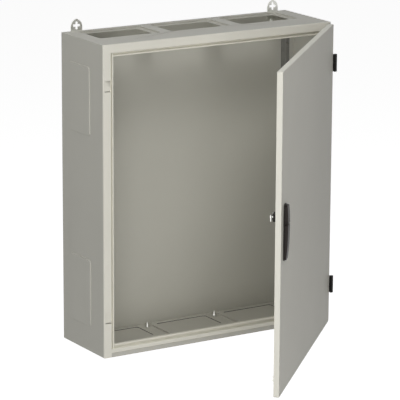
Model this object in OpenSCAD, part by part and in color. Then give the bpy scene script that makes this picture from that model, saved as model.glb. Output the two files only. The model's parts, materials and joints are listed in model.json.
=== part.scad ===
// Wall-mounted sheet-steel cabinet with a hinged door and a turn-and-lift lever.
// X runs to the right, Y towards the wall and Z up.
// The origin is the centre of the back face.

/* [Body] */
// Outside width of the body
body_w = 800; // [720:10:1000]
// Outside height of the body
body_h = 950; // [700:10:1400]
// Depth of the body, from the wall side to the front frame
body_d = 254; // [230:1:350]
// Sheet thickness of the body and of the door
sheet_t = 1.5; // [1:0.1:2]
// Width of a raised field in the side walls
field_w = 123; // [60:1:135]
// Height of a raised field in the side walls
field_h = 207; // [80:1:250]
// Distance of the raised fields behind the front frame
field_front = 81; // [60:1:95]
// Distance of the raised fields from the top and bottom edges
field_end = 78; // [60:1:95]
// Height of the raised fields over the side walls
field_raise = 3; // [1.8:0.1:5]
// Corner radius of the raised fields
field_r = 10; // [4:0.5:20]

/* [Cable openings] */
// Strip of panel beside the outer openings
opening_side = 49.5; // [35:0.5:70]
// Strip of panel between two openings
opening_web = 37; // [30:0.5:50]
// Strip of panel in front of the openings
opening_front = 105; // [60:1:120]
// Strip of panel behind the openings
opening_back = 16; // [12:0.5:30]
// Corner radius of the recess round an opening
opening_r = 9; // [4:0.5:14]
// Width of the ledge that carries a cover plate
ledge_w = 15; // [12:0.5:20]
// Depth of the ledge below the panel
recess_depth = 5.5; // [4.6:0.1:9]
// Thickness of a cover plate
plate_t = 1.5; // [1:0.1:2]
// Thickness of the flat seal above a cover plate
plate_seal_t = 1.5; // [1:0.1:2]
// Gap round a cover plate in its recess
plate_gap = 1; // [0.5:0.1:2]
// Radius of the clear screw holes in the ledges of the top
ledge_hole_r = 2.1; // [2:0.1:2.6]
// Radius of the thread-forming screws that hold the cover plates in the floor
plate_screw_r = 1.75; // [1.5:0.05:1.8]
// Distance of the ledge holes from the sides of the recess
ledge_hole_in = 8; // [7:0.5:9]

/* [Front frame] */
// Width of the flange that faces the door
flange_w = 25; // [22:0.5:28]
// Width of the rain gutter between the flange and the sealing lip
gutter_w = 8; // [6:0.5:9]
// Depth of the rain gutter
gutter_depth = 16; // [14:0.5:22]
// Thickness of the hemmed sealing lip
lip_t = 5; // [3:0.5:5.5]
// Distance of the lip's nose behind the flange
lip_setback = 6; // [5:0.5:10]
// Width of the frame's returns along the walls
fold_w = 6; // [4:0.5:10]
// Depth of the pockets for the hinge feet
pocket_depth = 3.4; // [2:0.1:4]
// Height of those pockets
pocket_h = 34; // [32:1:44]
// Distance of the pockets from the body's side
pocket_side = 4; // [3.5:0.5:6]
// Height of the slit at a pocket's lower edge
pocket_slit = 2.5; // [1.5:0.1:3]
// Height of the floor sheet's fold at the front
sill_h = 13.5; // [8:0.5:18]
// Distance of the bottom rail's flange behind that fold
sill_step = 1; // [0.5:0.1:2]

/* [Wall lugs and rear rails] */
// Distance of a wall lug's middle from the body's side
lug_side = 50; // [40:1:150]
// Width of a wall lug
lug_w = 39; // [32:1:50]
// Height of a wall lug over the top of the body
lug_rise = 37; // [30:1:60]
// Radius of the two arcs that close the top of a wall lug
lug_arc_r = 25; // [20:1:40]
// Distance of the lug hole below the lug's top
lug_hole_drop = 20; // [17:0.5:24]
// Length of a wall lug below the top of the body
lug_drop = 48; // [40:1:80]
// Thickness of a wall lug
lug_t = 3; // [2:0.5:4]
// Length of each slot of the cross-shaped lug hole
lug_slot_l = 23; // [14:1:26]
// Width of each slot of the cross-shaped lug hole
lug_slot_w = 7; // [5:0.5:9]
// Radius of the bolt that holds a wall lug
lug_bolt_r = 4; // [3:0.5:5]
// Distance of that bolt below the top of the body
lug_bolt_drop = 30; // [20:1:34]
// Width of a rear rail
rail_w = 13.5; // [11:0.5:16]
// Depth of a rear rail
rail_d = 27; // [20:1:40]
// Distance of a rear rail's fixing holes from the ends of the body
rail_hole_end = 100; // [60:1:200]
// Radius of the fixing holes in the rear rails
rail_hole_r = 2.6; // [2:0.1:3.5]

/* [Door] */
// Depth of the door in front of the body, with its seating gap
door_d = 17.5; // [17:0.5:26]
// Gap between the body's outline and the sides of the door
door_side_gap = 2; // [1:0.5:4]
// Gap between the body's outline and the ends of the door
door_end_gap = 3; // [1:0.5:6]
// Gap between the closed door's rim and the front frame
door_seat_gap = 0.5; // [0.4:0.1:1]
// Width of the door's inward rim
rim_w = 12; // [8:0.5:14]
// Corner radius of the door
door_r = 5; // [3:0.5:10]
// Width of the tubes that stiffen the door
stile_w = 14.5; // [10:0.5:15]
// Depth of the tubes that stiffen the door
stile_d = 15; // [12:0.5:15.5]
// Wall thickness of the tubes that stiffen the door
stile_wall = 1.2; // [0.8:0.1:2]
// Width of the door seal
seal_w = 10; // [6:0.5:12]
// Height of the ramp that centres the door as it shuts
guide_h = 24; // [16:1:40]
// Height of that ramp's lower end above the underside of the body
guide_z = 38; // [36:1:80]
// Gap between the door seal and the lip when the door is shut
seal_gap = 0.3; // [0.2:0.1:1]
// Angle at which the door stands open
door_open = 45.4; // [0:0.1:130]

/* [Hinges] */
// Distance of a hinge's middle from the end of the body
hinge_inset = 123.5; // [60:0.5:200]
// Height of a hinge
hinge_h = 54; // [50:1:70]
// Distance of the hinge axis outside the body's side
hinge_out = 2; // [1.5:0.1:4]
// Distance of the hinge axis in front of the door's face
hinge_front = 5.5; // [5.5:0.1:8]
// Radius of the hinge barrels
barrel_r = 5.8; // [4.5:0.1:6]
// Radius of the hinge pins
pin_r = 2.5; // [2:0.1:3]
// Radial clearance of the door's barrel on its pin
pin_play = 0.06; // [0.03:0.01:0.1]
// Gap between the two barrels of a hinge
barrel_gap = 0.5; // [0.3:0.1:1]
// Thickness of the hinge foot on the front frame
foot_t = 4; // [3:0.1:4]
// Distance of the hinge screws from the body's side
foot_screw_x = 13; // [12:0.5:15]
// Distance between the two screws of a hinge foot
foot_screw_pitch = 22; // [14:1:22]
// Radius of the hinge screws
hinge_screw_r = 2.5; // [2:0.1:2.8]
// Thickness of the leaf on the door's side
leaf_t = 2.5; // [2:0.1:2.8]
// Distance between the two screws of a door leaf
leaf_screw_pitch = 12; // [10:0.5:14]
// Radius of the door leaf's screws
leaf_screw_r = 2; // [1.5:0.1:2.2]

/* [Handle and lock] */
// Distance of the handle's centre line from the body's side
handle_x = 49; // [49:0.5:80]
// Height of the handle's middle above the middle of the body
handle_z = 5; // [-60:1:60]
// Length of the handle
handle_l = 165; // [150:1:200]
// Width of the handle's base
base_w = 34; // [30:1:44]
// Thickness of the handle's base
base_t = 3; // [2.5:0.1:5]
// Width of the lever
lever_w = 30; // [26:1:40]
// Greatest thickness of the lever
lever_t = 10; // [10:0.1:14]
// Thickness of the lever at its lower end
lever_tip_t = 2.5; // [2:0.1:5]
// Gap between the lever and the base
lever_gap = 0.5; // [0.3:0.1:1]
// Height of the spindle above the handle's middle
spindle_z = 42; // [30:1:45]
// Radius of the spindle
spindle_r = 5; // [4:0.1:6]
// Width of the spindle's square ends
square_w = 7; // [5:0.1:8]
// Distance of the lever's pivot below the spindle
pivot_drop = 13; // [12:0.5:20]
// Radius of the lever's pivot pin
pivot_r = 2; // [1.5:0.1:2.5]
// Width of the neck between the head's two ears
neck_w = 17; // [12:0.5:18]
// Width of the lock housing inside the door
housing_w = 16; // [14:0.5:17]
// Height of the lock housing inside the door
housing_h = 28; // [24:0.5:40]
// Width of the lock's cam
cam_w = 19; // [14:0.5:22]
// Thickness of the lock's cam
cam_t = 3; // [2:0.1:4]
// Overlap of the cam behind the frame's gutter
cam_reach = 10; // [6:0.5:12]
// Gap between the cam and the back of the gutter
cam_gap = 0.5; // [0.3:0.1:2]

/* [Floor] */
// Distance of the floor studs from the back face
stud_back = 34; // [30:1:60]
// Height of a floor stud
stud_h = 16; // [12:0.5:24]
// Radius of a floor stud's flange
stud_flange_r = 11; // [8:0.5:14]

/* [Hidden] */
$fn = 64;
cut = 1;
fit_gap = 0.05;
in_w = body_w - 2 * sheet_t;
opening_count = 3;
opening_w = (body_w - 2 * opening_side - (opening_count - 1) * opening_web) / opening_count;
opening_pitch = opening_w + opening_web;
opening_d = body_d - opening_front - opening_back;
opening_y = -opening_back - opening_d / 2;
hole_w = opening_w - 2 * ledge_w;
hole_d = opening_d - 2 * ledge_w;
ledge_top = recess_depth + sheet_t;
ledge_screw_x = opening_w - 2 * ledge_hole_in;
ledge_screw_y = opening_d - 2 * ledge_hole_in;
plate_z = recess_depth - plate_seal_t - plate_t;

lug_spacing = body_w - 2 * lug_side;
rail_hole_pitch = body_h - 2 * rail_hole_end;
lug_y = -sheet_t - lug_t;
front_y = -body_d;
gutter_back = front_y + gutter_depth;
lip_outer = flange_w + gutter_w;
lip_inner = lip_outer + lip_t;
lip_mid = lip_outer + lip_t / 2;
lip_nose_y = front_y + lip_setback;

door_w = body_w - 2 * door_side_gap;
door_h = body_h - 2 * door_end_gap;
door_face_y = front_y - door_d;
door_skin_y = door_face_y + sheet_t;
door_rim_y = front_y - door_seat_gap;
seal_outer = lip_mid - seal_w / 2;
stile_inner = lip_mid + seal_w / 2;
stile_outer = stile_inner - stile_w;
stile_y = door_skin_y + stile_d;
seal_t = lip_nose_y - seal_gap - stile_y;
guide_t = seal_outer - stile_outer - 0.3;
guide_d = gutter_back - sheet_t - 2.5 - stile_y;

axis_x = body_w / 2 + hinge_out;
axis_y = door_face_y - hinge_front;
hinge_half = (hinge_h - barrel_gap) / 2;
foot_x = foot_screw_x + 2 * hinge_screw_r + 5;
riser_t = 5.5;
notch_h = hinge_h + 4;
notch_d = foot_t + 1;
leaf_back = front_y - foot_t - 1.5;
leaf_front = door_face_y + 1;
leaf_mid_y = (leaf_back + leaf_front) / 2;

handle_px = -(body_w / 2 - handle_x);
handle_pz = body_h / 2 + handle_z;
spindle_pz = handle_pz + spindle_z;
base_front_y = door_face_y - base_t;
lever_back_y = base_front_y - lever_gap;
pivot_pz = spindle_pz - pivot_drop;
pivot_y = lever_back_y - lever_t / 2;
neck_r = lever_t / 2 - 0.3;
ear_end = lever_t / 2 + 0.3;
shoulder = 6;
socket_d = 5;
cam_front_y = gutter_back + cam_gap;
housing_back_y = cam_front_y - 2;
cam_back_y = cam_front_y + cam_t;
cam_l = handle_x - lip_inner + cam_reach;
base_screw_z = handle_l / 2 - 13;
base_screw_r = 2;
lock_screw_z = housing_h / 2 - 4;
lock_screw_r = 1.6;

pocket_gap = 0.3;
bolt_washer_t = 1.6;
bolt_head_h = 5.3;

charcoal = [0.16, 0.15, 0.14];
paint = [0.80, 0.79, 0.74];
floor_paint = [0.66, 0.65, 0.61];
zinc = [0.76, 0.75, 0.73];
steel = [0.62, 0.62, 0.61];
foam = [0.20, 0.20, 0.20];

SIDES = ["left", "middle", "right"];

// ---- placing ----

// Heights are drawn from the underside of the body and moved to the origin here.
module fixed() {
    translate([0, 0, -body_h / 2]) children();
}

// Door pieces are drawn with the door shut, then swung open about the hinge axis.
module on_door() {
    fixed() translate([axis_x, axis_y, 0]) rotate([0, 0, door_open])
        translate([-axis_x, -axis_y, 0]) children();
}

module on_right(side) {
    if (side > 0) mirror([1, 0, 0]) children();
    else children();
}

module each_opening() {
    for (i = [0 : opening_count - 1]) at_opening(i) children();
}

module at_opening(i) {
    translate([(i - (opening_count - 1) / 2) * opening_pitch, opening_y, 0]) children();
}

module each_ledge_screw() {
    for (x = [-0.5, 0.5], y = [-0.5, 0.5])
        translate([x * ledge_screw_x, y * ledge_screw_y, 0]) children();
}

module each_hinge() {
    for (z = [hinge_inset, body_h - hinge_inset]) translate([0, 0, z]) children();
}

module each_foot_screw() {
    each_hinge() for (dz = [-0.5, 0.5])
        translate([body_w / 2 - foot_screw_x, 0, dz * foot_screw_pitch]) children();
}

module each_leaf_screw() {
    each_hinge() for (dz = [-0.5, 0.5])
        translate([0, leaf_mid_y, (hinge_h + barrel_gap) / 4 + dz * leaf_screw_pitch]) children();
}

// ---- shapes ----

module rounded_rect(w, h, r) {
    square([w - 2 * r, h], center = true);
    square([w, h - 2 * r], center = true);
    for (x = [-0.5, 0.5], y = [-0.5, 0.5])
        translate([x * (w - 2 * r), y * (h - 2 * r)]) circle(r = r);
}

// A flat outline, drawn with its X across and its Y up, given a thickness towards +Y.
module upright(t) {
    rotate([90, 0, 0]) mirror([0, 0, 1]) linear_extrude(t) children();
}

// A flat outline, drawn with its X along Y and its Y up, given a thickness towards +X.
module sideways(t) {
    rotate([90, 0, 90]) linear_extrude(t) children();
}

module rod_y(r, l) {
    rotate([-90, 0, 0]) cylinder(r = r, h = l);
}

module rod_x(r, l) {
    rotate([0, 90, 0]) cylinder(r = r, h = l);
}

// A screw along +Z whose flat head lies below Z = 0.
module pan_screw(r, l, head_h) {
    cylinder(r = r, h = l);
    translate([0, 0, -head_h]) cylinder(r = 1.9 * r, h = head_h);
}

// A countersunk screw along +Z whose head is flush with Z = 0.
module flush_screw(r, l) {
    cylinder(r = r, h = l);
    cylinder(r1 = 1.8 * r, r2 = r, h = 0.8 * r);
}

// The seat and hole of a countersunk screw.
module flush_hole(r, l) {
    translate([0, 0, -cut]) cylinder(r = r + fit_gap, h = l + 2 * cut);
    cylinder(r1 = 1.8 * r + fit_gap, r2 = r + fit_gap, h = 0.8 * r);
    translate([0, 0, -cut]) cylinder(r = 1.8 * r + fit_gap, h = cut);
}

// ---- walls ----

module back_wall() {
    color(paint) fixed() difference() {
        translate([-in_w / 2, -sheet_t, 0]) cube([in_w, sheet_t, body_h]);
        each_lug_bolt() translate([0, -sheet_t - cut, 0])
            rod_y(lug_bolt_r + fit_gap, sheet_t + 2 * cut);
    }
}

module each_side_field() {
    for (z = [field_end + field_h / 2, body_h - field_end - field_h / 2])
        translate([-body_w / 2, front_y + field_front + field_w / 2, z]) children();
}

// The left wall, or its mirror image on the right.
module side_wall(side) {
    color(paint) fixed() on_right(side) difference() {
        union() {
            translate([-body_w / 2, front_y + fold_w, 0])
                cube([sheet_t, body_d - fold_w, body_h]);
            each_side_field() translate([-field_raise, 0, 0])
                sideways(field_raise + sheet_t) rounded_rect(field_w, field_h, field_r);
        }
        each_side_field() translate([-field_raise + sheet_t, 0, 0])
            sideways(field_raise + cut)
                rounded_rect(field_w - 2 * sheet_t, field_h - 2 * sheet_t, field_r - sheet_t);
    }
}

// A panel with recessed cable openings, as it lies in the floor, with its edge setback behind the front.
module flange_panel(setback, hole_r) {
    difference() {
        union() {
            translate([-in_w / 2, front_y + setback, 0])
                cube([in_w, body_d - sheet_t - setback, sheet_t]);
            each_opening() linear_extrude(ledge_top)
                rounded_rect(opening_w + 2 * sheet_t, opening_d + 2 * sheet_t, opening_r + sheet_t);
        }
        each_opening() {
            translate([0, 0, -cut]) linear_extrude(recess_depth + cut)
                rounded_rect(opening_w, opening_d, opening_r);
            translate([0, 0, -cut]) linear_extrude(ledge_top + 2 * cut)
                rounded_rect(hole_w, hole_d, opening_r);
            each_ledge_screw() translate([0, 0, -cut])
                cylinder(r = hole_r, h = ledge_top + 2 * cut);
        }
    }
}

module top_panel() {
    color(paint) fixed() difference() {
        translate([0, 0, body_h]) mirror([0, 0, 1]) flange_panel(fold_w, ledge_hole_r);
        for (x = [-0.5, 0.5])
            translate([x * lug_spacing - lug_w / 2 - fit_gap, lug_y - fit_gap, body_h - sheet_t - cut])
                cube([lug_w + 2 * fit_gap, lug_t + fit_gap + cut, sheet_t + 2 * cut]);
    }
}

module bottom_panel() {
    color(floor_paint) fixed() {
        flange_panel(sheet_t, plate_screw_r + fit_gap);
        translate([-body_w / 2 + flange_w, front_y, 0])
            cube([body_w - 2 * flange_w, sheet_t, sill_h]);
    }
}

// ---- front frame ----

// The gutter's floor and the hemmed lip, with X inwards from the body's side and Y to the back.
module gutter_section() {
    translate([flange_w - sheet_t, gutter_depth - sheet_t])
        square([gutter_w + lip_t + sheet_t, sheet_t]);
    translate([lip_outer, lip_setback + lip_t / 2])
        square([lip_t, gutter_depth - lip_setback - lip_t / 2]);
    translate([lip_mid, lip_setback + lip_t / 2]) circle(d = lip_t);
}

// The pocket that takes a hinge foot is open towards the gutter.
module pocket_cut() {
    translate([-body_w / 2 + pocket_side, front_y - cut, -pocket_h / 2])
        cube([flange_w - pocket_side + cut, pocket_depth + cut, pocket_h]);
}

// The floor, side and top of a pocket, with the slit left open at its lower edge.
module pocket_lining() {
    lining_w = flange_w - pocket_side + sheet_t;
    lining_h = pocket_h - pocket_slit + sheet_t;
    translate([-body_w / 2 + pocket_side - sheet_t, front_y, -pocket_h / 2 + pocket_slit]) {
        translate([0, pocket_depth, 0]) cube([lining_w, sheet_t, lining_h]);
        cube([sheet_t, pocket_depth + sheet_t, lining_h]);
        translate([0, 0, lining_h - sheet_t]) cube([lining_w, pocket_depth + sheet_t, sheet_t]);
    }
}

module frame_post(side) {
    color(paint) fixed() on_right(side) difference() {
        union() {
            difference() {
                union() {
                    translate([-body_w / 2, front_y, 0]) {
                        cube([flange_w, sheet_t, body_h]);
                        cube([sheet_t, fold_w, body_h]);
                        translate([0, 0, body_h - sheet_t]) cube([flange_w, fold_w, sheet_t]);
                    }
                    translate([-body_w / 2, front_y, flange_w])
                        linear_extrude(body_h - 2 * flange_w) {
                            gutter_section();
                            translate([flange_w - sheet_t, 0]) square([sheet_t, gutter_depth]);
                        }
                }
                each_hinge() pocket_cut();
            }
            each_hinge() pocket_lining();
        }
        if (side > 0) mirror([1, 0, 0]) each_foot_screw() translate([0, front_y - cut, 0])
            rod_y(hinge_screw_r + 0.1, pocket_depth + sheet_t + 2 * cut);
    }
}

// A rail as it lies at the bottom: its flange starts at flange_z and lies step behind the front.
module frame_rail(flange_z, step) {
    flange_l = body_w - 2 * flange_w;
    return_l = flange_l + 2 * sheet_t;
    lip_l = body_w - 2 * lip_inner;
    translate([-flange_l / 2, front_y + step, flange_z])
        cube([flange_l, sheet_t, flange_w - flange_z]);
    translate([-return_l / 2, front_y + step, flange_w - sheet_t])
        cube([return_l, gutter_depth - step, sheet_t]);
    translate([-lip_l / 2, front_y, 0]) rotate([90, 0, 90]) linear_extrude(lip_l)
        mirror([1, -1, 0]) gutter_section();
}

module frame_rail_top() {
    color(paint) fixed() translate([0, 0, body_h]) mirror([0, 0, 1]) {
        frame_rail(0, 0);
        translate([-body_w / 2 + flange_w, front_y, 0])
            cube([body_w - 2 * flange_w, fold_w, sheet_t]);
    }
}

module frame_rail_bottom() {
    color(paint) fixed() frame_rail(sill_h, sill_step);
}

// ---- floor ----

module cover_plate(i) {
    color(floor_paint) fixed() at_opening(i) translate([0, 0, plate_z]) difference() {
        linear_extrude(plate_t) rounded_rect(
            opening_w - 2 * plate_gap, opening_d - 2 * plate_gap, opening_r - plate_gap);
        each_ledge_screw() translate([0, 0, -cut])
            cylinder(r = ledge_hole_r + 0.4, h = plate_t + 2 * cut);
    }
}

module plate_seal(i) {
    color(foam) fixed() at_opening(i) translate([0, 0, plate_z + plate_t]) difference() {
        linear_extrude(plate_seal_t) rounded_rect(
            opening_w - 2 * plate_gap, opening_d - 2 * plate_gap, opening_r - plate_gap);
        translate([0, 0, -cut]) linear_extrude(plate_seal_t + 2 * cut)
            rounded_rect(hole_w, hole_d, opening_r);
        each_ledge_screw() translate([0, 0, -cut])
            cylinder(r = ledge_hole_r + 0.4, h = plate_seal_t + 2 * cut);
    }
}

module plate_screws() {
    color(zinc) fixed() each_opening() each_ledge_screw() translate([0, 0, plate_z])
        pan_screw(plate_screw_r, ledge_top - plate_z + 2, min(2.2, plate_z));
}

// A stud with a conical nut, between the openings and beside the outer ones.
module floor_studs() {
    color(zinc) fixed() for (i = [0 : opening_count])
        translate([(i - opening_count / 2) * opening_pitch, -stud_back, sheet_t]) {
            cylinder(r = stud_flange_r, h = 2);
            translate([0, 0, 2]) cylinder(r1 = 0.75 * stud_flange_r, r2 = 3, h = stud_h - 5);
            translate([0, 0, stud_h - 3]) cylinder(r = 3, h = 3);
        }
}

// ---- wall lugs and rear rails ----

module each_lug_bolt() {
    for (x = [-0.5, 0.5]) translate([x * lug_spacing, 0, body_h - lug_bolt_drop]) children();
}

// The lug stands inside the back wall and comes up through a slot in the top panel.
module wall_lug(side) {
    spring_z = body_h + lug_rise - sqrt(pow(lug_arc_r, 2) - pow(lug_arc_r - lug_w / 2, 2));
    hole_z = body_h + lug_rise - lug_hole_drop;
    color(zinc) fixed() translate([side * lug_spacing / 2, lug_y, 0]) difference() {
        union() {
            translate([-lug_w / 2, 0, body_h - lug_drop])
                cube([lug_w, lug_t, spring_z - body_h + lug_drop]);
            intersection() {
                translate([lug_w / 2 - lug_arc_r, 0, spring_z]) rod_y(lug_arc_r, lug_t);
                translate([lug_arc_r - lug_w / 2, 0, spring_z]) rod_y(lug_arc_r, lug_t);
            }
        }
        translate([-lug_slot_l / 2, -cut, hole_z - lug_slot_w / 2])
            cube([lug_slot_l, lug_t + 2 * cut, lug_slot_w]);
        translate([-lug_slot_w / 2, -cut, hole_z - lug_slot_l / 2])
            cube([lug_slot_w, lug_t + 2 * cut, lug_slot_l]);
        translate([0, -cut, body_h - lug_bolt_drop])
            rod_y(lug_bolt_r + fit_gap, lug_t + 2 * cut);
    }
}

module lug_bolts() {
    color(zinc) fixed() each_lug_bolt() translate([0, lug_y, 0]) {
        rod_y(lug_bolt_r, -lug_y);
        translate([0, -bolt_washer_t, 0]) rod_y(2 * lug_bolt_r, bolt_washer_t);
        translate([0, -bolt_washer_t - bolt_head_h, 0]) rotate([-90, 0, 0])
            cylinder(d = 3.25 * lug_bolt_r / cos(30), h = bolt_head_h, $fn = 6);
    }
}

module rear_rail(side) {
    color(steel) fixed() on_right(side) difference() {
        translate([-in_w / 2, -sheet_t - rail_d, lip_inner]) {
            cube([rail_w, sheet_t, body_h - 2 * lip_inner]);
            translate([rail_w - sheet_t, 0, 0]) cube([sheet_t, rail_d, body_h - 2 * lip_inner]);
        }
        for (z = [-0.5, 0.5])
            translate([-in_w / 2 + rail_w / 2, -sheet_t - rail_d - cut, body_h / 2 + z * rail_hole_pitch])
                rod_y(rail_hole_r, sheet_t + 2 * cut);
    }
}

// ---- hinges ----

// The fixed half: a foot that fills its pocket, a riser past the door's side and the lower barrel.
module hinge_bracket(z) {
    color(charcoal) fixed() translate([0, 0, z]) difference() {
        union() {
            translate([body_w / 2 - foot_x, front_y - foot_t, -hinge_h / 2])
                cube([axis_x + riser_t / 2 - body_w / 2 + foot_x, foot_t, hinge_h]);
            translate([body_w / 2 - foot_x, front_y - cut, pocket_gap - pocket_h / 2])
                cube([foot_x - pocket_side - pocket_gap, pocket_depth + cut - pocket_gap,
                    pocket_h - 2 * pocket_gap]);
            translate([axis_x - riser_t / 2, axis_y, -hinge_h / 2])
                cube([riser_t, front_y - axis_y, hinge_half]);
            translate([axis_x, axis_y, -hinge_h / 2]) cylinder(r = barrel_r, h = hinge_half);
        }
        translate([axis_x, axis_y, -hinge_h / 2 - cut])
            cylinder(r = pin_r + 0.02, h = hinge_half + 2 * cut);
        for (dz = [-0.5, 0.5])
            translate([body_w / 2 - foot_screw_x, front_y - foot_t, dz * foot_screw_pitch])
                rotate([-90, 0, 0]) flush_hole(hinge_screw_r, foot_t + pocket_depth);
    }
}

module hinge_pin(z) {
    color(steel) fixed() translate([axis_x, axis_y, z - hinge_h / 2]) {
        cylinder(r = pin_r, h = hinge_h - 0.5);
        translate([0, 0, -1.2]) cylinder(r = pin_r + 1.2, h = 1.2);
    }
}

module hinge_bracket_screws() {
    color(zinc) fixed() each_foot_screw() translate([0, front_y - foot_t, 0])
        rotate([-90, 0, 0]) flush_screw(hinge_screw_r, foot_t + pocket_depth + sheet_t + 4);
}

// The door's half: a leaf on the side of the door and the upper barrel.
module hinge_leaf(z) {
    leaf_z = barrel_gap / 2;
    color(charcoal) on_door() translate([0, 0, z]) difference() {
        union() {
            translate([door_w / 2, leaf_front, leaf_z])
                cube([leaf_t, leaf_back - leaf_front, hinge_half]);
            translate([door_w / 2, axis_y, leaf_z])
                cube([leaf_t + 1, leaf_front + 2 - axis_y, hinge_half]);
            translate([axis_x, axis_y, leaf_z]) cylinder(r = barrel_r, h = hinge_half);
        }
        translate([axis_x, axis_y, leaf_z - cut])
            cylinder(r = pin_r + pin_play, h = hinge_half + 2 * cut);
        for (dz = [-0.5, 0.5])
            translate([door_w / 2 + leaf_t, leaf_mid_y, (hinge_h + barrel_gap) / 4 + dz * leaf_screw_pitch])
                rotate([0, -90, 0]) flush_hole(leaf_screw_r, leaf_t);
    }
}

module hinge_leaf_screws() {
    color(zinc) on_door() each_leaf_screw() translate([door_w / 2 + leaf_t, 0, 0])
        rotate([0, -90, 0]) flush_screw(leaf_screw_r, leaf_t + sheet_t + 3);
}

// ---- door ----

module door_outline(inset, r) {
    translate([0, body_h / 2]) rounded_rect(door_w - 2 * inset, door_h - 2 * inset, r);
}

module door_panel() {
    tray_d = door_rim_y - door_face_y;
    color(paint) on_door() difference() {
        translate([0, door_face_y, 0]) upright(tray_d) door_outline(0, door_r);
        translate([0, door_skin_y, 0]) upright(tray_d - 2 * sheet_t)
            door_outline(sheet_t, door_r - sheet_t);
        translate([0, door_skin_y, 0]) upright(tray_d) door_outline(sheet_t + rim_w, door_r);
        each_hinge() translate([body_w / 2 - foot_x - 1, door_rim_y - notch_d, -notch_h / 2])
            cube([foot_x + 2, notch_d + cut, notch_h]);
        each_leaf_screw() translate([door_w / 2 - sheet_t - cut, 0, 0])
            rod_x(leaf_screw_r + fit_gap, sheet_t + 2 * cut);
        translate([handle_px, door_face_y - cut, spindle_pz])
            rod_y(spindle_r + 2.6, sheet_t + 2 * cut);
        each_base_screw() translate([0, door_face_y - cut, 0])
            rod_y(base_screw_r + 0.1, sheet_t + 2 * cut);
        each_lock_screw() translate([0, door_face_y - cut, 0])
            rod_y(lock_screw_r + 0.1, sheet_t + 2 * cut);
    }
}

// A square tube of length l, drawn up from the origin.
module tube(w, d, l) {
    linear_extrude(l) difference() {
        square([w, d]);
        translate([stile_wall, stile_wall]) square([w - 2 * stile_wall, d - 2 * stile_wall]);
    }
}

module door_stile(side) {
    color(steel) on_door() on_right(side)
        translate([-body_w / 2 + stile_outer, door_skin_y, stile_outer])
            tube(stile_w, stile_d, body_h - 2 * stile_outer);
}

module door_rail(z) {
    rail_l = body_w - 2 * stile_inner;
    color(steel) on_door() translate([-rail_l / 2, door_skin_y, z])
        rotate([90, 0, 90]) tube(stile_d, stile_w, rail_l);
}

module door_seal() {
    seal_r = 12;
    color(foam) on_door() translate([0, stile_y, body_h / 2]) difference() {
        upright(seal_t)
            rounded_rect(body_w - 2 * seal_outer, body_h - 2 * seal_outer, seal_r);
        translate([0, -cut, 0]) upright(seal_t + 2 * cut)
            rounded_rect(body_w - 2 * stile_inner, body_h - 2 * stile_inner, seal_r - seal_w / 2);
    }
}

// A ramp on the free stile that dips into the frame's gutter.
module door_guide() {
    color(zinc) on_door() translate([-body_w / 2 + stile_outer, stile_y, guide_z])
        sideways(guide_t)
            polygon([[0, 0], [guide_d, 0.3 * guide_h], [guide_d, 0.7 * guide_h], [0, guide_h]]);
}

// ---- handle and lock ----

module each_base_screw() {
    for (s = [-1, 1]) translate([handle_px, 0, handle_pz + s * base_screw_z]) children();
}

module each_lock_screw() {
    for (s = [-1, 1]) translate([handle_px, 0, spindle_pz + s * lock_screw_z]) children();
}

module handle_base() {
    color(charcoal) on_door() difference() {
        union() {
            translate([handle_px, base_front_y, handle_pz]) upright(base_t)
                rounded_rect(base_w, handle_l, 10);
            translate([handle_px, door_face_y, spindle_pz]) rod_y(spindle_r + 2.5, sheet_t);
        }
        translate([handle_px, base_front_y - cut, spindle_pz])
            rod_y(spindle_r + fit_gap, base_t + sheet_t + 2 * cut);
        each_base_screw() translate([0, base_front_y + 0.8, 0])
            rod_y(base_screw_r + 0.02, base_t);
        each_lock_screw() translate([0, base_front_y + 0.8, 0])
            rod_y(lock_screw_r + 0.02, base_t);
    }
}

module handle_screws() {
    color(zinc) on_door() each_base_screw() translate([0, door_skin_y, 0])
        rotate([90, 0, 0]) pan_screw(base_screw_r, sheet_t + base_t - 1, 2.4);
}

module lock_housing() {
    color(charcoal) on_door() difference() {
        translate([handle_px, door_skin_y, spindle_pz]) upright(housing_back_y - door_skin_y)
            rounded_rect(housing_w, housing_h, 4);
        translate([handle_px, door_skin_y - cut, spindle_pz])
            rod_y(spindle_r + fit_gap, housing_back_y - door_skin_y + 2 * cut);
        each_lock_screw() translate([0, door_skin_y - cut, 0])
            rod_y(lock_screw_r + fit_gap, housing_back_y - door_skin_y + 2 * cut);
    }
}

module lock_screws() {
    color(zinc) on_door() each_lock_screw() translate([0, housing_back_y, 0])
        rotate([90, 0, 0]) pan_screw(lock_screw_r, housing_back_y - base_front_y - 1, 1.2);
}

module spindle() {
    socket_y = lever_back_y - socket_d;
    color(zinc) on_door() difference() {
        union() {
            translate([handle_px, lever_back_y, spindle_pz])
                rod_y(spindle_r, housing_back_y + 1 - lever_back_y);
            translate([handle_px - square_w / 2, socket_y, spindle_pz - square_w / 2])
                cube([square_w, cam_back_y - socket_y, square_w]);
        }
        translate([handle_px, cam_back_y - 14, spindle_pz]) rod_y(pivot_r + 0.02, 14 + cut);
    }
}

// Thickness of the handle over its base, at height z above its lower end.
function lever_rise(z) =
    let (crest = 0.62 * handle_l,
         up = z < crest ? z / crest : (handle_l - z) / (handle_l - crest),
         tip = z < crest ? lever_tip_t : 0.55 * lever_t)
    tip + (lever_t - tip) * sqrt(1 - pow(1 - up, 2));

// The handle's side outline between two heights, with X towards the front and Y up.
module lever_side(z0, z1) {
    steps = 16;
    polygon(concat(
        [[0, z0]],
        [for (i = [0 : steps]) let (z = z0 + (z1 - z0) * i / steps) [lever_rise(z), z]],
        [[0, z1]]
    ));
}

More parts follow.
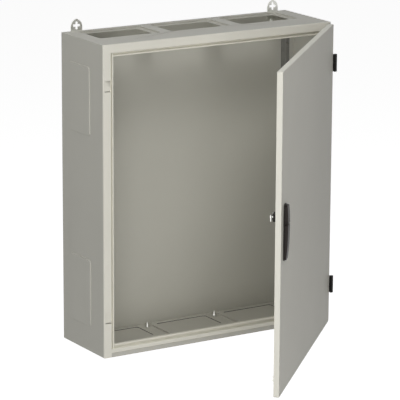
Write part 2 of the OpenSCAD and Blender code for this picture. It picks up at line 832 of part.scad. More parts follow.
// The lens-shaped grip between two heights above its lower end.
module grip(z0, z1) {
    corner = 9;
    intersection() {
        translate([handle_px + lever_w / 2, lever_back_y, handle_pz - handle_l / 2])
            rotate([90, 0, -90]) linear_extrude(lever_w) lever_side(z0, z1);
        translate([handle_px, lever_back_y - lever_t - cut, handle_pz]) upright(lever_t + 2 * cut)
            rounded_rect(lever_w, handle_l - 4, corner);
    }
}

module handle_head() {
    foot_z = pivot_pz + ear_end - handle_pz + handle_l / 2;
    ear_w = (lever_w - neck_w) / 2 - 0.3;
    color(charcoal) on_door() difference() {
        union() {
            grip(foot_z, handle_l - 2);
            for (s = [-1, 1])
                translate([handle_px + s * (lever_w - ear_w) / 2, pivot_y, pivot_pz]) {
                    translate([-ear_w / 2, 0, 0]) rod_x(neck_r, ear_w);
                    translate([-ear_w / 2, -neck_r, 0]) cube([ear_w, 2 * neck_r, ear_end + cut]);
                }
        }
        translate([handle_px - square_w / 2 - fit_gap, lever_back_y - socket_d - fit_gap,
                spindle_pz - square_w / 2 - fit_gap])
            cube([square_w + 2 * fit_gap, socket_d + fit_gap + cut, square_w + 2 * fit_gap]);
        translate([handle_px - lever_w / 2 - cut, pivot_y, pivot_pz])
            rod_x(pivot_r + 0.02, lever_w + 2 * cut);
    }
}

module pivot_pin() {
    color(steel) on_door() translate([handle_px - lever_w / 2 + 1, pivot_y, pivot_pz])
        rod_x(pivot_r, lever_w - 2);
}

module handle_lever() {
    top_z = pivot_pz - shoulder - handle_pz + handle_l / 2;
    color(charcoal) on_door() difference() {
        union() {
            grip(2, top_z);
            translate([handle_px - neck_w / 2, pivot_y, pivot_pz]) rod_x(neck_r, neck_w);
            translate([handle_px - neck_w / 2, pivot_y - neck_r, pivot_pz - shoulder - cut])
                cube([neck_w, 2 * neck_r, shoulder + cut]);
        }
        translate([handle_px - neck_w / 2 - cut, pivot_y, pivot_pz])
            rod_x(pivot_r + 0.06, neck_w + 2 * cut);
    }
}

module lock_cam() {
    hub_r = cam_w / 2;
    color(zinc) on_door() translate([handle_px, cam_front_y, spindle_pz]) difference() {
        upright(cam_t) {
            circle(r = hub_r);
            translate([-cam_l, -hub_r]) square([cam_l, cam_w]);
        }
        translate([-square_w / 2 - fit_gap, -cut, -square_w / 2 - fit_gap])
            cube([square_w + 2 * fit_gap, cam_t + 2 * cut, square_w + 2 * fit_gap]);
    }
}

module cam_bolt() {
    color(steel) on_door() translate([handle_px, cam_back_y, spindle_pz]) {
        translate([0, -12, 0]) rod_y(pivot_r, 12);
        rod_y(7, 1.2);
        translate([0, 1.2, 0]) rotate([-90, 0, 0]) cylinder(d = 8 / cos(30), h = 3.5, $fn = 6);
    }
}

back_wall();
side_wall(-1);  // left_wall
side_wall(1);  // right_wall
top_panel();
bottom_panel();
frame_post(-1);  // frame_post_left
frame_post(1);  // frame_post_right
frame_rail_top();
frame_rail_bottom();
for (i = [0 : opening_count - 1]) {
    cover_plate(i);
    plate_seal(i);
}
plate_screws();
floor_studs();
wall_lug(-1);  // wall_lug_left
wall_lug(1);  // wall_lug_right
lug_bolts();
rear_rail(-1);  // rear_rail_left
rear_rail(1);  // rear_rail_right
hinge_bracket(body_h - hinge_inset);  // hinge_bracket_upper
hinge_bracket(hinge_inset);  // hinge_bracket_lower
hinge_pin(body_h - hinge_inset);  // hinge_pin_upper
hinge_pin(hinge_inset);  // hinge_pin_lower
hinge_bracket_screws();
door_panel();
door_stile(-1);  // door_stile_left
door_stile(1);  // door_stile_right
door_rail(body_h - stile_inner);  // door_rail_top
door_rail(stile_outer);  // door_rail_bottom
door_seal();
door_guide();
hinge_leaf(body_h - hinge_inset);  // hinge_leaf_upper
hinge_leaf(hinge_inset);  // hinge_leaf_lower
hinge_leaf_screws();
handle_base();
handle_screws();
lock_housing();
lock_screws();
spindle();
handle_head();
pivot_pin();
lock_cam();
cam_bolt();
handle_lever();
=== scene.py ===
"""Looks of a painted sheet-steel wall cabinet whose door stands open.

Every length in a class field is in metres unless its name ends in _mm. The folded edges are worked on
copies of the cabinet's own solids, so that each finished piece keeps the size of its solid.
"""

from __future__ import annotations

import json
import logging
import math
from dataclasses import dataclass, field
from enum import Enum
from functools import cache
from typing import Callable, Iterable

import bmesh
import bpy
from mathutils import Matrix, Vector

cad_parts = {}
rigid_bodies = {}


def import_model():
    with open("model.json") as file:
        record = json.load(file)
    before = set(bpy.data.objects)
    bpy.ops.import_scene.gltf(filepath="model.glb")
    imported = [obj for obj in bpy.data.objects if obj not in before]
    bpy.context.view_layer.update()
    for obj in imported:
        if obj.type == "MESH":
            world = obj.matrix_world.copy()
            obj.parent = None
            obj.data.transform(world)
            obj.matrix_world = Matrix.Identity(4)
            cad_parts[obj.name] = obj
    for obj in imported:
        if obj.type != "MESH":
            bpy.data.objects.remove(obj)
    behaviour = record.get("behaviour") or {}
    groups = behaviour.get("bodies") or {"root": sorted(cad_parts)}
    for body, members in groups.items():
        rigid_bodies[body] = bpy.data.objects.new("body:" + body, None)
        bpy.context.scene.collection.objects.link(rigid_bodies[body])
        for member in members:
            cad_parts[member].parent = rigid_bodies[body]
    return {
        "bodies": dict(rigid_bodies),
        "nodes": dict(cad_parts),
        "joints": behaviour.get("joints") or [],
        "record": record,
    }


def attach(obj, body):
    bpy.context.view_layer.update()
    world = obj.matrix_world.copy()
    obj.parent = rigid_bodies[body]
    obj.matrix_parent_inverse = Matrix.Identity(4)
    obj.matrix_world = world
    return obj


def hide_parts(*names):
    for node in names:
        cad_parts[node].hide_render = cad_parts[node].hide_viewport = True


LOG = logging.getLogger("cabinet")
MM = 0.001
WELD = 1e-6
SHARP = math.radians(32.0)
FLAT = math.radians(0.6)
CREASE_WEIGHT = 60
TOUCH_MM = 0.1
WHITE = (1.0, 1.0, 1.0, 1.0)
EdgeTest = Callable[[Vector], bool]


class Rays(Enum):
    """Outputs of the Light Path node that see the white surroundings."""

    CAMERA = "Is Camera Ray"
    GLOSSY = "Is Glossy Ray"
    TRANSMISSION = "Is Transmission Ray"


class Value:
    """A shader socket that can be used in sums and products."""

    def __init__(self, graph: Graph, socket: bpy.types.NodeSocket | None) -> None:
        """Wraps an output socket.

        Args:
            graph: The graph that the socket is in.
            socket: The socket that gives the value, or None on an output node.
        """
        self.graph = graph
        self.socket = socket

    def _math(self, operation: str, first: object, second: object) -> Value:
        """A Math node on two values or numbers."""
        return self.graph.node("ShaderNodeMath", {"operation": operation}, {0: first, 1: second})

    def __add__(self, other: Value | float) -> Value:
        """The sum of two values."""
        return self._math("ADD", self, other)

    def __radd__(self, other: float) -> Value:
        """The sum of a number and a value."""
        return self._math("ADD", other, self)

    def __mul__(self, other: Value | float) -> Value:
        """The product of two values."""
        return self._math("MULTIPLY", self, other)


class Graph:
    """The node tree of one material or of the world."""

    def __init__(self, tree: bpy.types.NodeTree) -> None:
        """Empties the tree and keeps it."""
        tree.nodes.clear()
        self.tree = tree

    def node(
        self,
        kind: str,
        settings: dict[str, object] | None = None,
        inputs: dict[str | int, object] | None = None,
        output: str | int = 0,
    ) -> Value:
        """Adds a node.

        Args:
            kind: The node's type.
            settings: Its properties, which are set first.
            inputs: Numbers, colours or values for its sockets.
            output: The socket that is returned.

        Returns:
            The chosen output.
        """
        made = self.tree.nodes.new(kind)
        for name, setting in (settings or {}).items():
            if name == "stops":
                self._ramp(made.color_ramp, setting)
            else:
                setattr(made, name, setting)
        for name, value in (inputs or {}).items():
            if isinstance(value, Value):
                self.tree.links.new(value.socket, made.inputs[name])
            else:
                made.inputs[name].default_value = value
        return Value(self, made.outputs[output] if made.outputs else None)

    @staticmethod
    def _ramp(ramp: bpy.types.ColorRamp, stops: Iterable[tuple[float, float]]) -> None:
        """Sets a grey ramp from pairs of place and grey level."""
        for index, (place, level) in enumerate(stops):
            stop = ramp.elements[index] if index < 2 else ramp.elements.new(place)
            stop.position = place
            stop.color = (level, level, level, 1.0)

    def place(self) -> Value:
        """The point of the surface in the piece's own space."""
        return self.node("ShaderNodeTexCoord", output="Object")

    def noise(self, size: float, detail: float = 2.0, roughness: float = 0.5) -> Value:
        """A cloudy pattern.

        Args:
            size: The size of its features in metres.
            detail: How many finer layers it has.
            roughness: How strong those layers are.

        Returns:
            A value round 0.5.
        """
        inputs = {"Vector": self.place(), "Scale": 1.0 / size, "Detail": detail, "Roughness": roughness}
        return self.node("ShaderNodeTexNoise", None, inputs)

    def cells(self, size: float, output: str = "Distance") -> Value:
        """A pattern of cells of that size."""
        inputs = {"Vector": self.place(), "Scale": 1.0 / size}
        return self.node("ShaderNodeTexVoronoi", {"feature": "F1"}, inputs, output)

    def ramp(self, value: Value, stops: Iterable[tuple[float, float]]) -> Value:
        """The value led through a grey ramp."""
        return self.node("ShaderNodeValToRGB", {"stops": stops}, {0: value})

    def blend(self, factor: Value | float, first: Colour, second: Colour) -> Value:
        """A mix of two colours."""
        inputs = {0: factor, 6: (*first, 1.0), 7: (*second, 1.0)}
        return self.node("ShaderNodeMix", {"data_type": "RGBA"}, inputs, 2)

    def bump(self, height: Value, depth: float) -> Value:
        """A Bump node for relief of that depth in metres."""
        return self.node("ShaderNodeBump", None, {"Height": height, "Distance": depth, "Strength": 1.0})


Colour = tuple[float, float, float]


def shade(colour: Colour, factor: float) -> Colour:
    """The colour made darker or lighter by a factor."""
    return tuple(channel * factor for channel in colour)


@dataclass(frozen=True)
class Finish:
    """What every finish has: a name, a colour and a gloss."""

    name: str
    colour: Colour
    roughness: float

    @cache
    def material(self) -> bpy.types.Material:
        """The finish as a material, made on first use and shared after it.

        Returns:
            The material, which is never one that came with the loaded frame.
        """
        made = bpy.data.materials.new(self.name)
        made.use_nodes = True
        made.diffuse_color = (*self.colour, 1.0)
        graph = Graph(made.node_tree)
        shader = graph.node("ShaderNodeBsdfPrincipled", None, self.inputs(graph))
        graph.node("ShaderNodeOutputMaterial", None, {"Surface": shader})
        return made

    def inputs(self, graph: Graph) -> dict[str, object]:
        """The shader's inputs; each finish adds its own."""
        return {"Base Color": (*self.colour, 1.0), "Roughness": self.roughness}


@dataclass(frozen=True)
class PowderCoat(Finish):
    """Baked powder paint with a faint orange peel."""

    peel_size: float = 0.0016
    peel_depth: float = 0.00003
    cloud: float = 0.035
    specular: float = 0.12
    drift_size: float = 0.22
    speck_size: float = 0.004
    gloss_size: float = 0.03

    def inputs(self, graph: Graph) -> dict[str, object]:
        """Paint that varies a little in tone and gloss over the sheet."""
        drift = graph.noise(self.drift_size, 3.0)
        speck = graph.noise(self.speck_size, 2.0)
        tone = graph.ramp(drift * 0.8 + speck * 0.2, ((0.3, 0.0), (0.7, 1.0)))
        peel = graph.noise(self.peel_size, 2.0, 0.6)
        return {
            "Base Color": graph.blend(tone, shade(self.colour, 1.0 - self.cloud), self.colour),
            "Roughness": self.roughness - 0.05 + graph.noise(self.gloss_size, 3.0) * 0.1,
            "Specular IOR Level": self.specular,
            "Normal": graph.bump(peel, self.peel_depth),
        }


@dataclass(frozen=True)
class ZincPlate(Finish):
    """Bright zinc plating with cloudy passivation."""

    passivation: Colour = (0.66, 0.67, 0.62)
    cloud_size: float = 0.009
    scratch_size: float = 0.0009
    scratch_depth: float = 0.00002
    gloss_size: float = 0.004

    def inputs(self, graph: Graph) -> dict[str, object]:
        """Metal with soft clouds of another tint and fine scratches."""
        cloud = graph.ramp(graph.noise(self.cloud_size, 4.0, 0.65), ((0.35, 0.0), (0.65, 1.0)))
        scratch = graph.noise(self.scratch_size, 3.0, 0.7)
        return {
            "Base Color": graph.blend(cloud, self.colour, self.passivation),
            "Metallic": 1.0,
            "Roughness": self.roughness - 0.06 + graph.noise(self.gloss_size, 3.0) * 0.16,
            "Normal": graph.bump(scratch, self.scratch_depth),
        }


@dataclass(frozen=True)
class Galvanised(Finish):
    """Hot-dip zinc with its spangle."""

    spangle: float = 0.009
    pit_size: float = 0.0014
    pit_depth: float = 0.00002

    def inputs(self, graph: Graph) -> dict[str, object]:
        """Matt metal in flat cells of slightly different tone."""
        cell = graph.ramp(graph.cells(self.spangle, output="Color"), ((0.0, 0.0), (1.0, 1.0)))
        return {
            "Base Color": graph.blend(cell, shade(self.colour, 0.82), self.colour),
            "Metallic": 0.85,
            "Roughness": self.roughness - 0.05 + cell * 0.12,
            "Normal": graph.bump(graph.noise(self.pit_size, 2.0), self.pit_depth),
        }


@dataclass(frozen=True)
class Moulded(Finish):
    """Black moulded or cast surface with an eroded texture."""

    grain_size: float = 0.0009
    grain_depth: float = 0.00005
    specular: float = 0.3
    gloss_size: float = 0.012

    def inputs(self, graph: Graph) -> dict[str, object]:
        """A dark surface that is a little lighter on its grain's tops."""
        grain = graph.noise(self.grain_size, 3.0, 0.6)
        top = graph.ramp(grain, ((0.45, 0.0), (0.65, 1.0)))
        return {
            "Base Color": graph.blend(top, self.colour, shade(self.colour, 1.35)),
            "Roughness": self.roughness - 0.04 + graph.noise(self.gloss_size, 3.0) * 0.08,
            "Specular IOR Level": self.specular,
            "Normal": graph.bump(grain, self.grain_depth),
        }


@dataclass(frozen=True)
class Foam(Finish):
    """Foamed seal with a closed skin and small pores."""

    pore: float = 0.0016
    swell_size: float = 0.018
    relief_depth: float = 0.0004

    def inputs(self, graph: Graph) -> dict[str, object]:
        """A dull surface with pores and long swells from the pouring."""
        pores = graph.ramp(graph.cells(self.pore), ((0.0, 0.0), (0.45, 1.0)))
        swell = graph.noise(self.swell_size, 2.0)
        return {
            "Base Color": graph.blend(pores, shade(self.colour, 0.6), self.colour),
            "Roughness": self.roughness,
            "Normal": graph.bump(pores * 0.35 + swell, self.relief_depth),
        }


# The cabinet has one paint, split here into three copies. The frame and door get a lighter copy as painted
# light. The walls, top, back, floor and floor plates get darker copies as painted shade, so the recessed and
# turned-away sheets come out darker than the front.
LIT_PAINT = PowderCoat("lit_front_coat", (0.900, 0.878, 0.785), 0.42, specular=0.06)
SHADED_SHEET_PAINT = PowderCoat("shaded_sheet_coat", (0.580, 0.570, 0.510), 0.45)
SHADED_FLOOR_PAINT = PowderCoat("shaded_floor_coat", (0.620, 0.605, 0.545), 0.48)
ZINC = ZincPlate("zinc_plate", (0.74, 0.73, 0.71), 0.30)
GALVANISED = Galvanised("galvanised_sheet", (0.42, 0.42, 0.41), 0.48)
STEEL = ZincPlate("plain_steel", (0.56, 0.55, 0.54), 0.32, (0.50, 0.50, 0.49))
CASTING = Moulded("cast_black_finish", (0.0085, 0.0082, 0.0074), 0.45, 0.0012, 0.00006, 0.14)
PLASTIC = Moulded("moulded_black_finish", (0.0160, 0.0122, 0.0108), 0.42, 0.0009, 0.00005, 0.16)
FOAM = Foam("door_seal_foam", (0.035, 0.034, 0.032), 0.85)


@dataclass(frozen=True)
class Fold:
    """A set of edges that are rounded alike."""

    radius_mm: float
    segments: int = 3
    where: EdgeTest | None = None


@dataclass
class Cabinet:
    """What the pieces need from the loaded frame."""

    frame: dict[str, object]

    def __post_init__(self) -> None:
        """Works out each node's body and slot, and the door's turn from shut."""
        record = self.frame["record"]
        self.body_of = {n: b for b, nodes in record["behaviour"]["bodies"].items() for n in nodes}
        self.slot_of = {part["node"]: part["material_slot"] for part in record["subparts"]}
        joint = next(j for j in record["behaviour"]["joints"] if j["name"] == "door_swing")
        axis = Matrix.Translation(Vector(joint["pos_m"]))
        turn = Matrix.Rotation(math.radians(-joint["range_deg"][0]), 4, "Z")
        self.door_turn = axis @ turn @ axis.inverted()

    def drawn(self, node: str) -> Matrix:
        """The turn from the shut cabinet to the node's place at rest."""
        return Matrix.Identity(4) if self.body_of[node] == "cabinet" else self.door_turn

    def shut_box(self, node: str) -> tuple[Vector, Vector]:
        """The corners of a node's solid in millimetres, with the door shut."""
        back = self.drawn(node).inverted()
        points = [back @ vertex.co / MM for vertex in self.frame["nodes"][node].data.vertices]
        return Vector(map(min, zip(*points))), Vector(map(max, zip(*points)))

    def finish(self, piece: bpy.types.Object, finish: Finish, node: str) -> None:
        """Dresses a piece and hands it to its body.

        Args:
            piece: The finished object, in its place at rest.
            finish: What its surface is.
            node: The node that it stands for.
        """
        piece.data.materials.clear()
        piece.data.materials.append(finish.material())
        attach(piece, self.body_of[node])
        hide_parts(node)
        LOG.info("%s: %d faces, on %s", piece.name, len(piece.data.polygons), self.body_of[node])


def is_curved(face: bmesh.types.BMFace) -> bool:
    """Whether a face is a facet of a rounded surface."""
    return any(FLAT < edge.calc_face_angle(0.0) < SHARP for edge in face.edges)


def object_from(mesh: bmesh.types.BMesh, name: str) -> bpy.types.Object:
    """Makes an object of a bmesh, shaded smooth between its sharp edges.

    Args:
        mesh: The finished shape, which is freed.
        name: The object's name.

    Returns:
        The object, linked to the scene.
    """
    data = bpy.data.meshes.new(name)
    mesh.to_mesh(data)
    mesh.free()
    data.set_sharp_from_angle(angle=SHARP)
    made = bpy.data.objects.new(name, data)
    bpy.context.scene.collection.objects.link(made)
    weight = made.modifiers.new("even_normals", "WEIGHTED_NORMAL")
    weight.keep_sharp = True
    weight.weight = CREASE_WEIGHT
    return made


def sharp_edges(mesh: bmesh.types.BMesh, where: EdgeTest | None) -> list[bmesh.types.BMEdge]:
    """The edges between faces that meet at a marked angle.

    Args:
        mesh: The shape.
        where: A test of the edge's middle in millimetres, or None for all.

    Returns:
        The chosen edges.
    """
    chosen = []
    for edge in mesh.edges:
        if len(edge.link_faces) != 2 or edge.calc_face_angle(0.0) < SHARP:
            continue
        middle = (edge.verts[0].co + edge.verts[1].co) / 2 / MM
        if where is None or where(middle):
            chosen.append(edge)
    return chosen


def fence(mesh: bmesh.types.BMesh, inset: float) -> None:
    """Cuts flat faces along lines beside the outer edges, so that holes stay apart from them.

    Args:
        mesh: The shape, with its width along X and its height along Z.
        inset: How far inside the edges the lines lie, in metres.
    """
    for axis in (Vector((1.0, 0.0, 0.0)), Vector((0.0, 0.0, 1.0))):
        places = [vertex.co @ axis for vertex in mesh.verts]
        for place in (min(places) + inset, max(places) - inset):
            geometry = mesh.verts[:] + mesh.edges[:] + mesh.faces[:]
            bmesh.ops.bisect_plane(mesh, geom=geometry, dist=WELD, plane_co=axis * place, plane_no=axis)


def softened(cabinet: Cabinet, node: str, folds: Iterable[Fold], inset: float = 0.0) -> bmesh.types.BMesh:
    """A copy of a node's solid with its edges rounded.

    Args:
        cabinet: The loaded cabinet.
        node: The node's name.
        folds: The sets of edges, largest radius first.
        inset: How far inside its edges the flat faces are cut, in metres, or nought.

    Returns:
        The shape in its place at rest.
    """
    turn = cabinet.drawn(node)
    mesh = bmesh.new()
    mesh.from_mesh(cabinet.frame["nodes"][node].data)
    bmesh.ops.remove_doubles(mesh, verts=mesh.verts[:], dist=WELD)
    bmesh.ops.transform(mesh, matrix=turn.inverted(), verts=mesh.verts[:])
    bmesh.ops.dissolve_limit(mesh, angle_limit=FLAT, verts=mesh.verts[:], edges=mesh.edges[:])
    if inset:
        fence(mesh, inset)
    bmesh.ops.connect_verts_concave(mesh, faces=mesh.faces[:])
    for face in mesh.faces:
        face.smooth = is_curved(face)
    for fold in folds:
        edges = sharp_edges(mesh, fold.where)
        if edges:
            rounded = bmesh.ops.bevel(
                mesh,
                geom=edges,
                offset=fold.radius_mm * MM,
                offset_type="OFFSET",
                affect="EDGES",
                segments=fold.segments,
                profile=0.5,
                material=-1,
                clamp_overlap=False,
                loop_slide=True,
            )
            for face in rounded["faces"]:
                face.smooth = True
    bmesh.ops.transform(mesh, matrix=turn, verts=mesh.verts[:])
    return mesh


def beyond(axis: int, limit_mm: float, sign: int = 1) -> EdgeTest:
    """A test for edges past a limit along an axis.

    Args:
        axis: 0, 1 or 2 for X, Y or Z.
        limit_mm: The limit.
        sign: 1 for above the limit and -1 for below.

    Returns:
        The test.
    """
    return lambda middle: sign * (middle[axis] - limit_mm) > 0


@dataclass
class Shell:
    """The folded walls, top and floor."""

    cabinet: Cabinet
    rim_mm: float = 1.2
    emboss_mm: float = 1.3
    crest_mm: float = 0.7
    edge_mm: float = 0.35
    half_sheet_mm: float = 0.7
    front_strip_mm: float = 10.0
    rear_strip_mm: float = 8.0
    rim_band_mm: float = 2.0
    sill_mm: float = 1.0
    ledge_mm: float = 7.0
    well_mm: float = 6.0
    nodes: tuple[str, ...] = ("back_wall", "left_wall", "right_wall", "top_panel", "bottom_panel")

    def build(self) -> None:
        """Makes and dresses the five panels."""
        for node in self.nodes:
            folds = self.folds(node, *self.cabinet.shut_box(node))
            # The floor and the walls, top and back take darker copies of the one paint as painted shade.
            finish = SHADED_FLOOR_PAINT if node == "bottom_panel" else SHADED_SHEET_PAINT
            piece = object_from(softened(self.cabinet, node, folds), f"{node}_painted")
            self.cabinet.finish(piece, finish, node)

    def folds(self, node: str, low: Vector, high: Vector) -> list[Fold]:
        """The roundings of one panel.

        Args:
            node: The panel's node.
            low: Its lowest corner in millimetres.
            high: Its highest corner in millimetres.

        Returns:
            Its folds, largest first.
        """
        def amid(middle: Vector) -> bool:
            """Whether an edge lies between the front and rear strips of the panel."""
            return low.y + self.front_strip_mm < middle.y < high.y - self.rear_strip_mm

        if node in ("left_wall", "right_wall"):
            outward = beyond(0, high.x - self.half_sheet_mm, -1)
            if node == "right_wall":
                outward = beyond(0, low.x + self.half_sheet_mm)
            return [Fold(self.emboss_mm, 3, lambda p: outward(p) and p.y > low.y + self.front_strip_mm)]
        if node == "top_panel":
            rims = Fold(self.rim_mm, 3, lambda p: p.z > high.z - TOUCH_MM and amid(p))
            return [rims, Fold(self.edge_mm, 2, lambda p: p.z < high.z - self.rim_band_mm)]
        if node == "bottom_panel":
            sill = Fold(self.rim_mm, 3, lambda p: p.z < low.z + TOUCH_MM and p.y < low.y + self.sill_mm)
            crest = Fold(self.crest_mm, 3, lambda p: p.z > low.z + self.ledge_mm - TOUCH_MM and amid(p))
            return [sill, crest, Fold(self.edge_mm, 2, lambda p: p.z < low.z + self.well_mm and amid(p))]
        return []


@dataclass
class FrontFrame:
    """The posts and rails round the front opening."""

    cabinet: Cabinet
    corner_mm: float = 2.4
    edge_mm: float = 0.5
    corner_band_mm: float = 0.5
    outer_margin_mm: float = 3.9
    nodes: tuple[str, ...] = ("frame_post_left", "frame_post_right", "frame_rail_top", "frame_rail_bottom")

    def build(self) -> None:
        """Makes and dresses the posts and rails."""
        corner = self.cabinet.shut_box("frame_post_right")[1]
        for node in self.nodes:
            front = self.cabinet.shut_box(node)[0].y
            piece = object_from(softened(self.cabinet, node, self.folds(front, corner)), f"{node}_painted")
            # The posts and rails take the lighter copy of the one paint as painted light.
            self.cabinet.finish(piece, LIT_PAINT, node)

    def folds(self, front: float, corner: Vector) -> list[Fold]:
        """The roundings of a post or rail.

        Args:
            front: The place of its front face in millimetres.
            corner: The upper right corner of the frame in millimetres.

        Returns:
            The outer fold, then the small edges.
        """
        def on_outline(middle: Vector) -> bool:
            """Whether an edge lies on a side or on the top of the frame."""
            return abs(middle.x) > corner.x - self.corner_band_mm or middle.z > corner.z - self.corner_band_mm

        def well_inside(middle: Vector) -> bool:
            """Whether an edge keeps its distance from the outline."""
            margin = self.outer_margin_mm
            return abs(middle.x) < corner.x - margin and abs(middle.z) < corner.z - margin

        outer = Fold(self.corner_mm, 4, lambda p: p.y < front + TOUCH_MM and on_outline(p))
        small = Fold(self.edge_mm, 2, lambda p: p.y < front + TOUCH_MM and well_inside(p))
        return [outer, small]


@dataclass
class SmallParts:
    """Castings, plates and fasteners, each a softened copy of its solid."""

    cabinet: Cabinet
    kinds: dict[str, tuple[Finish, float]] = field(default_factory=lambda: {
        # The floor's cover plates take the darker floor copy of the one paint as painted shade.
        "cover_plate_left": (SHADED_FLOOR_PAINT, 0.3),
        "cover_plate_middle": (SHADED_FLOOR_PAINT, 0.3),
        "cover_plate_right": (SHADED_FLOOR_PAINT, 0.3),
        "plate_seal_left": (FOAM, 0.3),
        "plate_seal_middle": (FOAM, 0.3),
        "plate_seal_right": (FOAM, 0.3),
        "plate_screws": (ZINC, 0.3),
        "floor_studs": (ZINC, 0.4),
        "wall_lug_left": (ZINC, 0.5),
        "wall_lug_right": (ZINC, 0.5),
        "lug_bolts": (ZINC, 0.4),
        "rear_rail_left": (GALVANISED, 0.3),
        "rear_rail_right": (GALVANISED, 0.3),
        "hinge_bracket_upper": (CASTING, 0.6),
        "hinge_bracket_lower": (CASTING, 0.6),
        "hinge_pin_upper": (STEEL, 0.3),
        "hinge_pin_lower": (STEEL, 0.3),
        "hinge_bracket_screws": (ZINC, 0.2),
        "door_stile_left": (GALVANISED, 0.4),
        "door_stile_right": (GALVANISED, 0.4),
        "door_rail_top": (GALVANISED, 0.4),
        "door_rail_bottom": (GALVANISED, 0.4),
        "door_guide": (ZINC, 0.8),
        "hinge_leaf_upper": (CASTING, 0.5),
        "hinge_leaf_lower": (CASTING, 0.5),
        "hinge_leaf_screws": (ZINC, 0.2),
        "handle_base": (PLASTIC, 0.8),
        "handle_screws": (ZINC, 0.2),
        "lock_housing": (PLASTIC, 0.8),
        "lock_screws": (ZINC, 0.2),
        "spindle": (ZINC, 0.2),
        "pivot_pin": (CASTING, 0.2),
        "lock_cam": (ZINC, 0.5),
        "cam_bolt": (STEEL, 0.4),
    })

    def build(self) -> None:
        """Makes and dresses every small part."""
        for node, (finish, radius) in self.kinds.items():
            piece = object_from(softened(self.cabinet, node, [Fold(radius, 2)]), f"{node}_finished")
            self.cabinet.finish(piece, finish, node)


@dataclass
class Door:
    """The door's tray and its foamed seal."""

    cabinet: Cabinet
    fold_mm: float = 2.4
    outline_mm: float = 8.0
    bead_mm: float = 3.6
    cut_inset: float = 0.012

    def build(self) -> None:
        """Makes the tray and the seal."""
        low, high = self.cabinet.shut_box("door_panel")

        def on_outline(middle: Vector) -> bool:
            """Whether an edge lies along a side of the door."""
            return abs(middle.x) > high.x - self.outline_mm or abs(middle.z) > high.z - self.outline_mm

        outer = Fold(self.fold_mm, 4, lambda p: p.y < low.y + TOUCH_MM and on_outline(p))
        shape = softened(self.cabinet, "door_panel", [outer], self.cut_inset)
        piece = object_from(shape, "door_panel_painted")
        # The door's tray takes the lighter copy of the one paint as painted light.
        self.cabinet.finish(piece, LIT_PAINT, "door_panel")
        back = self.cabinet.shut_box("door_seal")[1].y
        crown = Fold(self.bead_mm, 5, beyond(1, back - TOUCH_MM))
        piece = object_from(softened(self.cabinet, "door_seal", [crown]), "door_seal_bead")
        self.cabinet.finish(piece, FOAM, "door_seal")


@dataclass
class SwivelHandle:
    """The head and the lever, with their soft moulded edges."""

    cabinet: Cabinet
    crown_mm: float = 2.6
    crown_depth_mm: float = 6.0
    side_mm: float = 0.5
    end_mm: float = 1.5
    nodes: tuple[str, ...] = ("handle_head", "handle_lever")

    def build(self) -> None:
        """Makes the two mouldings."""
        boxes = [self.cabinet.shut_box(node) for node in self.nodes]
        low = Vector(map(min, *(box[0] for box in boxes)))
        high = Vector(map(max, *(box[1] for box in boxes)))
        centre, half = (low + high) / 2, (high - low) / 2

        def on_outline(middle: Vector) -> bool:
            """Whether an edge lies at a side or an end of the closed handle."""
            away = middle - centre
            return abs(away.x) > half.x - self.side_mm or abs(away.z) > half.z - self.end_mm

        crown = Fold(self.crown_mm, 5, lambda p: p.y < low.y + self.crown_depth_mm and on_outline(p))
        for node in self.nodes:
            piece = object_from(softened(self.cabinet, node, [crown]), f"{node}_moulded")
            self.cabinet.finish(piece, PLASTIC, node)


@dataclass(frozen=True)
class Softbox:
    """A square lamp that faces the cabinet."""

    name: str
    azimuth: float
    elevation: float
    power: float
    side: float = 2.4
    distance: float = 4.0
    tint: Colour = (1.0, 1.0, 1.0)

    def hang(self, target: Vector) -> None:
        """Hangs the lamp and turns it to the target."""
        lamp = bpy.data.lights.new(self.name, "AREA")
        lamp.shape = "SQUARE"
        lamp.size = self.side
        lamp.energy = self.power
        lamp.color = self.tint
        made = bpy.data.objects.new(self.name, lamp)
        bpy.context.scene.collection.objects.link(made)
        turn, tilt = math.radians(self.azimuth), math.radians(self.elevation)
        back = Vector((math.sin(turn) * math.cos(tilt), -math.cos(turn) * math.cos(tilt), math.sin(tilt)))
        made.location = target + back * self.distance
        made.rotation_euler = (-back).to_track_quat("-Z", "Y").to_euler()


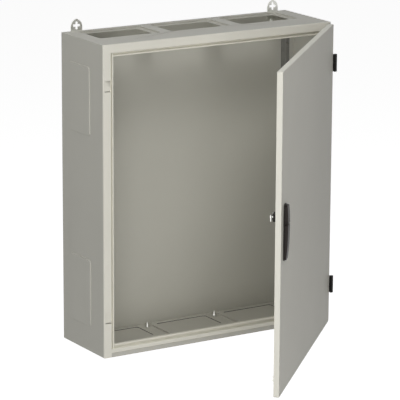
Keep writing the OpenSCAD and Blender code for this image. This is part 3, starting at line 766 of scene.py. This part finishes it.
@dataclass
class Studio:
    """The floor, the white surroundings, the lamps and the camera."""

    target: Vector = field(default_factory=lambda: Vector((0.0, -0.25, 0.0)))
    floor_level: float = -1.025
    floor_side: float = 60.0
    floor_tone: float = 0.82
    floor_glow: float = 0.95
    lens: float = 231.596
    sensor: float = 36.0
    azimuth: float = -31.706
    elevation: float = 13.807
    roll: float = 0.283
    station: Colour = (-4.02359, -6.65772, 1.82197)
    lamps: tuple[Softbox, ...] = (
        Softbox("lamp_left_back", -105, 35, 33.0),
        Softbox("lamp_front", -12, 28, 8.0),
        Softbox("lamp_front_top", -5, 52, 27.0, 1.0),
        Softbox("lamp_top", -60, 75, 18.0),
        Softbox("lamp_left_top", -50, 50, 12.0),
        Softbox("lamp_camera", -30, 3, 56.0),
    )

    def build(self) -> None:
        """Sets up the whole studio."""
        self.world()
        self.floor()
        for lamp in self.lamps:
            lamp.hang(self.target)
        self.camera()
        view = bpy.context.scene.view_settings
        view.view_transform = "Standard"

    @staticmethod
    def seen_white(graph: Graph) -> Value:
        """A mask of the rays that see the surroundings as white."""
        rays = [graph.node("ShaderNodeLightPath", output=ray.value) for ray in Rays]
        joined = graph.node("ShaderNodeMath", {"operation": "MAXIMUM"}, {0: rays[0], 1: rays[1]})
        return graph.node("ShaderNodeMath", {"operation": "MAXIMUM"}, {0: joined, 1: rays[2]})

    def world(self) -> None:
        """White where it is seen or mirrored, with no light of its own on matt surfaces."""
        world = bpy.data.worlds.new("studio_air")
        bpy.context.scene.world = world
        world.use_nodes = True
        graph = Graph(world.node_tree)
        sky = graph.node("ShaderNodeBackground", None, {"Color": WHITE, "Strength": self.seen_white(graph)})
        graph.node("ShaderNodeOutputWorld", None, {"Surface": sky})

    def floor(self) -> None:
        """A pale floor below the cabinet that still takes its shadow."""
        mesh = bmesh.new()
        bmesh.ops.create_grid(mesh, x_segments=1, y_segments=1, size=self.floor_side / 2)
        bmesh.ops.translate(mesh, vec=Vector((0.0, 0.0, self.floor_level)), verts=mesh.verts[:])
        data = bpy.data.meshes.new("studio_floor")
        mesh.to_mesh(data)
        mesh.free()
        made = bpy.data.objects.new("studio_floor", data)
        bpy.context.scene.collection.objects.link(made)
        material = bpy.data.materials.new("studio_floor")
        material.use_nodes = True
        graph = Graph(material.node_tree)
        matt = graph.node("ShaderNodeBsdfDiffuse", None, {"Color": (*[self.floor_tone] * 3, 1.0)})
        strength = self.seen_white(graph) * self.floor_glow
        glow = graph.node("ShaderNodeEmission", None, {"Color": WHITE, "Strength": strength})
        both = graph.node("ShaderNodeAddShader", None, {0: matt, 1: glow})
        graph.node("ShaderNodeOutputMaterial", None, {"Surface": both})
        data.materials.append(material)

    def camera(self) -> None:
        """The camera, in front of the cabinet on its left."""
        data = bpy.data.cameras.new("camera")
        data.lens = self.lens
        data.sensor_width = self.sensor
        data.clip_end = 200.0
        made = bpy.data.objects.new("camera", data)
        bpy.context.scene.collection.objects.link(made)
        turn = Matrix.Rotation(math.radians(self.azimuth), 4, "Z")
        tilt = Matrix.Rotation(math.radians(90.0 - self.elevation), 4, "X")
        roll = Matrix.Rotation(math.radians(self.roll), 4, "Z")
        made.matrix_world = Matrix.Translation(Vector(self.station)) @ turn @ tilt @ roll
        bpy.context.scene.camera = made


def main() -> None:
    """Builds every piece round the frame and sets up the studio."""
    logging.basicConfig(level=logging.INFO, format="%(message)s")
    cabinet = Cabinet(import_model())
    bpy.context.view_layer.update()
    for assembly in (Shell, FrontFrame, SmallParts, Door, SwivelHandle):
        assembly(cabinet).build()
    Studio().build()


if __name__ == "__main__":
    main()
